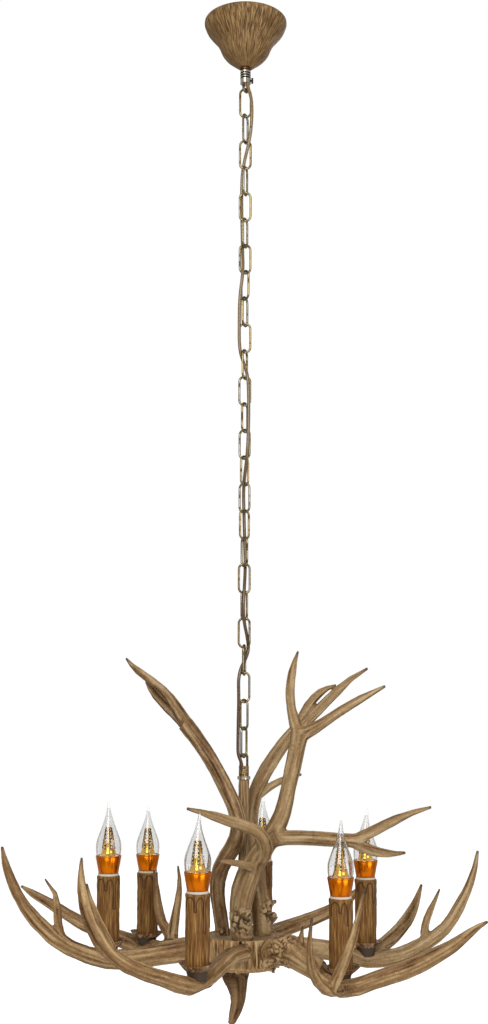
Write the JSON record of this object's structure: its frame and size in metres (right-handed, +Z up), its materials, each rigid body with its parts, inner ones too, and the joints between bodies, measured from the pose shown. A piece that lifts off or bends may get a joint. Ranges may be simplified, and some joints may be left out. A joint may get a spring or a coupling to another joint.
{
  "type": "antler chandelier",
  "caption": "Resin antler chandelier: candle lamps on a ring of antlers round a bark hub, with taller antlers above it, hung from a canopy by a stem, a chain and a woven cord.",
  "frame": {"origin": "centre of the ceiling bracket's top face, on the ceiling plane and the hanging axis", "axes": "+Z up into the ceiling, +X to the right seen from the front, +Y to the back; the bracket's screw holes lie along X"},
  "size_m": [0.7135, 0.5559, 1.5066],
  "materials": {
    "canopy_woodgrain": "satin paint with a vertical wood grain",
    "zinc_steel": "zinc plated, satin",
    "copper_nut": "polished copper plate",
    "black_paint": "satin black",
    "satin_nickel": "satin nickel plate",
    "antique_brass": "aged brass plate with dark recesses",
    "bronze_paint": "satin bronze",
    "stem_paint": "streaked antler-tone paint",
    "bark_resin": "cast resin, bark texture",
    "cup_paint": "satin dark brown",
    "holder_plastic": "ivory moulded plastic",
    "cord_cover": "translucent gold-brown cover",
    "sleeve_resin": "cast resin sleeve, bark texture with drips",
    "bulb_collar": "orange-gold anodised",
    "bulb_glass": "clear",
    "antler_resin": "cast resin, grained, dark tips"
  },
  "bodies": {
    "ceiling_mount": {"canopy": "canopy_woodgrain", "ceiling_bracket": "zinc_steel", "nipple": "zinc_steel", "nipple_nuts": "zinc_steel", "lock_nut": "copper_nut", "dark_washer": "black_paint", "cord_grip": "satin_nickel", "canopy_loop": "antique_brass", "cord_top": "cord_cover"},
    "thumb_screw": {"thumb_screw": "antique_brass"},
    "top_link": {"chain_link_first": "antique_brass"},
    "chain_run": {"chain_links": "antique_brass", "cord_run": "cord_cover"},
    "bottom_link": {"chain_link_last": "antique_brass"},
    "chandelier": {"stem_eye": "antique_brass", "stem_fitting": "bronze_paint", "stem_washer": "satin_nickel", "stem_tube": "stem_paint", "tie_rod": "zinc_steel", "rod_nuts": "zinc_steel", "hub": "bark_resin", "hub_plate": "black_paint", "finial": "bark_resin", "candle_pans": "bark_resin", "candle_cups": "cup_paint", "candle_bolts": "zinc_steel", "lampholders": "holder_plastic", "cord_end": "cord_cover", "sleeve_left": "sleeve_resin", "sleeve_rear_left": "sleeve_resin", "sleeve_front_left": "sleeve_resin", "sleeve_rear_right": "sleeve_resin", "sleeve_front_right": "sleeve_resin", "sleeve_right": "sleeve_resin", "lower_antler_left": "antler_resin", "lower_antler_rear_left": "antler_resin", "lower_antler_front_left": "antler_resin", "lower_antler_rear_right": "antler_resin", "lower_antler_front_right": "antler_resin", "lower_antler_right": "antler_resin", "upper_antler_front": "antler_resin", "upper_antler_left": "antler_resin", "upper_antler_right": "antler_resin"},
    "bulb_left": {"bulb_base_left": "bulb_collar", "bulb_glass_left": "bulb_glass"},
    "bulb_rear_left": {"bulb_base_rear_left": "bulb_collar", "bulb_glass_rear_left": "bulb_glass"},
    "bulb_front_left": {"bulb_base_front_left": "bulb_collar", "bulb_glass_front_left": "bulb_glass"},
    "bulb_rear_right": {"bulb_base_rear_right": "bulb_collar", "bulb_glass_rear_right": "bulb_glass"},
    "bulb_front_right": {"bulb_base_front_right": "bulb_collar", "bulb_glass_front_right": "bulb_glass"},
    "bulb_right": {"bulb_base_right": "bulb_collar", "bulb_glass_right": "bulb_glass"}
  },
  "joints": [
    {"name": "top_link_swing", "type": "hinge", "parent": "ceiling_mount", "child": "top_link", "pos_m": [0, 0, -0.1075], "axis": [0.5, 0.866, 0], "range_deg": [-25, 25], "deforming": ["cord_top"]},
    {"name": "chain_swing", "type": "hinge", "parent": "top_link", "child": "chain_run", "pos_m": [0, 0, -0.14765], "axis": [1, 0, 0], "range_deg": [-25, 25]},
    {"name": "bottom_link_swing", "type": "hinge", "parent": "chain_run", "child": "bottom_link", "pos_m": [0, 0, -1.078], "axis": [0.6428, -0.766, 0], "range_deg": [-15, 15]},
    {"name": "chandelier_swing", "type": "hinge", "parent": "bottom_link", "child": "chandelier", "pos_m": [0, 0, -1.11845], "axis": [0.4695, 0.8829, 0], "range_deg": [-15, 15], "deforming": ["cord_end"]},
    {"name": "bulb_left_out", "type": "slide", "parent": "chandelier", "child": "bulb_left", "axis": [0, 0, 1], "range_m": [0, 0.03]},
    {"name": "bulb_rear_left_out", "type": "slide", "parent": "chandelier", "child": "bulb_rear_left", "axis": [0, 0, 1], "range_m": [0, 0.03]},
    {"name": "bulb_front_left_out", "type": "slide", "parent": "chandelier", "child": "bulb_front_left", "axis": [0, 0, 1], "range_m": [0, 0.03]},
    {"name": "bulb_rear_right_out", "type": "slide", "parent": "chandelier", "child": "bulb_rear_right", "axis": [0, 0, 1], "range_m": [0, 0.03]},
    {"name": "bulb_front_right_out", "type": "slide", "parent": "chandelier", "child": "bulb_front_right", "axis": [0, 0, 1], "range_m": [0, 0.03]},
    {"name": "bulb_right_out", "type": "slide", "parent": "chandelier", "child": "bulb_right", "axis": [0, 0, 1], "range_m": [0, 0.03]},
    {"name": "thumb_screw_turn", "type": "hinge", "parent": "ceiling_mount", "child": "thumb_screw", "pos_m": [0.009, 0, -0.0905], "axis": [1, 0, 0], "continuous": true}
  ]
}
